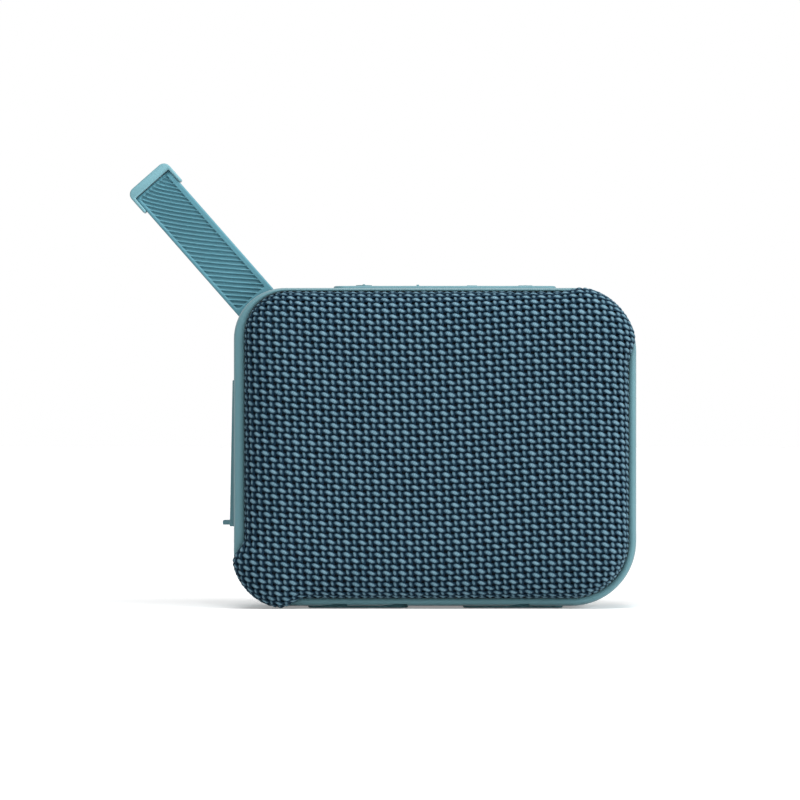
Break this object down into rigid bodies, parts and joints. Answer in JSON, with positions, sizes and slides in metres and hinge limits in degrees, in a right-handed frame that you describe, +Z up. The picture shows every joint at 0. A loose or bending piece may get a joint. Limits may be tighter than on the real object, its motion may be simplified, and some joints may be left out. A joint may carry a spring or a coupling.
{
  "type": "portable bluetooth speaker",
  "caption": "Pocket-size portable speaker in a silicone sleeve with a woven fabric front, top keys, a side port flap and a ribbed carry strap at one corner.",
  "frame": {"origin": "middle of the sleeve's flat underside, between the two feet, which stand 0.6 mm below it", "axes": "+Z up, -Y out of the fabric front, +X to the right seen from the front; the strap leaves the upper left corner"},
  "size_m": [0.1269, 0.042, 0.1114],
  "materials": {
    "teal_silicone": "satin",
    "teal_fabric": "coarse woven",
    "black_plastic": "moulded",
    "bright_steel": "bright",
    "plated_steel": "zinc plated",
    "ferrite": "matte ceramic",
    "paper_cone": "pressed paper",
    "black_rubber": "matte",
    "spider_cloth": "resin-treated cloth",
    "copper": "enamelled wire",
    "circuit_board": "solder mask",
    "battery_wrap": "shrink film",
    "foam": "closed-cell foam",
    "red_wire": "wire insulation",
    "flex_film": "polyimide film"
  },
  "bodies": {
    "cabinet": {"rubber_sleeve": "teal_silicone", "foot_left": "teal_silicone", "foot_right": "teal_silicone", "fabric_cover": "teal_fabric", "grille_frame": "black_plastic", "front_baffle": "black_plastic", "rear_housing": "black_plastic", "strap_anchor_cup": "black_plastic", "driver_basket": "black_plastic", "radiator_frame": "black_plastic", "battery_plug": "black_plastic", "aux_jack": "black_plastic", "port_bezel": "black_plastic", "switch_power": "black_plastic", "switch_volume_down": "black_plastic", "switch_play": "black_plastic", "switch_volume_up": "black_plastic", "strap_pin": "bright_steel", "case_screw_1": "bright_steel", "case_screw_2": "bright_steel", "case_screw_3": "bright_steel", "case_screw_4": "bright_steel", "driver_screw_1": "bright_steel", "driver_screw_2": "bright_steel", "driver_screw_3": "bright_steel", "driver_screw_4": "bright_steel", "board_screw_1": "bright_steel", "board_screw_2": "bright_steel", "usb_c_port": "bright_steel", "card_slot": "bright_steel", "driver_top_plate": "plated_steel", "driver_yoke": "plated_steel", "radio_module": "plated_steel", "driver_magnet": "ferrite", "driver_surround": "black_rubber", "radiator_surround": "black_rubber", "housing_seal": "black_rubber", "driver_wire_black": "black_rubber", "battery_wire_black": "black_rubber", "driver_spider": "spider_cloth", "main_board": "circuit_board", "key_board": "circuit_board", "driver_terminal": "circuit_board", "battery_cell": "battery_wrap", "driver_gasket": "foam", "battery_foam": "foam", "driver_wire_red": "red_wire", "battery_wire_red": "red_wire", "key_cable": "flex_film"},
    "strap": {"strap_loop": "teal_silicone", "strap_end_clip": "teal_silicone"},
    "flap": {"port_flap": "teal_silicone"},
    "power_key": {"button_power": "teal_silicone"},
    "volume_down_key": {"button_volume_down": "teal_silicone"},
    "play_key": {"button_play": "teal_silicone"},
    "volume_up_key": {"button_volume_up": "teal_silicone"},
    "cone_assembly": {"driver_cone": "paper_cone", "driver_dust_cap": "paper_cone", "driver_voice_coil": "copper"},
    "radiator_weight": {"radiator_plate": "plated_steel"}
  },
  "joints": [
    {"name": "strap_swing", "type": "hinge", "parent": "cabinet", "child": "strap", "pos_m": [-0.04296, 0.002, 0.07365], "axis": [0.7511, 0, 0.6601], "range_deg": [-40, 40]},
    {"name": "flap_open", "type": "hinge", "parent": "cabinet", "child": "flap", "pos_m": [-0.0509, 0.0065, 0.0564], "axis": [0, 1, 0], "range_deg": [0, 110]},
    {"name": "power_press", "type": "slide", "parent": "cabinet", "child": "power_key", "axis": [0, 0, -1], "range_m": [0, 0.0005]},
    {"name": "volume_down_press", "type": "slide", "parent": "cabinet", "child": "volume_down_key", "axis": [0, 0, -1], "range_m": [0, 0.0005]},
    {"name": "play_press", "type": "slide", "parent": "cabinet", "child": "play_key", "axis": [0, 0, -1], "range_m": [0, 0.0005]},
    {"name": "volume_up_press", "type": "slide", "parent": "cabinet", "child": "volume_up_key", "axis": [0, 0, -1], "range_m": [0, 0.0005]},
    {"name": "cone_travel", "type": "slide", "parent": "cabinet", "child": "cone_assembly", "axis": [0, 1, 0], "range_m": [-0.0012, 0.0012], "deforming": ["driver_surround", "driver_spider"]},
    {"name": "radiator_travel", "type": "slide", "parent": "cabinet", "child": "radiator_weight", "axis": [0, 1, 0], "range_m": [-0.0016, 0.0016], "deforming": ["radiator_surround"]}
  ]
}
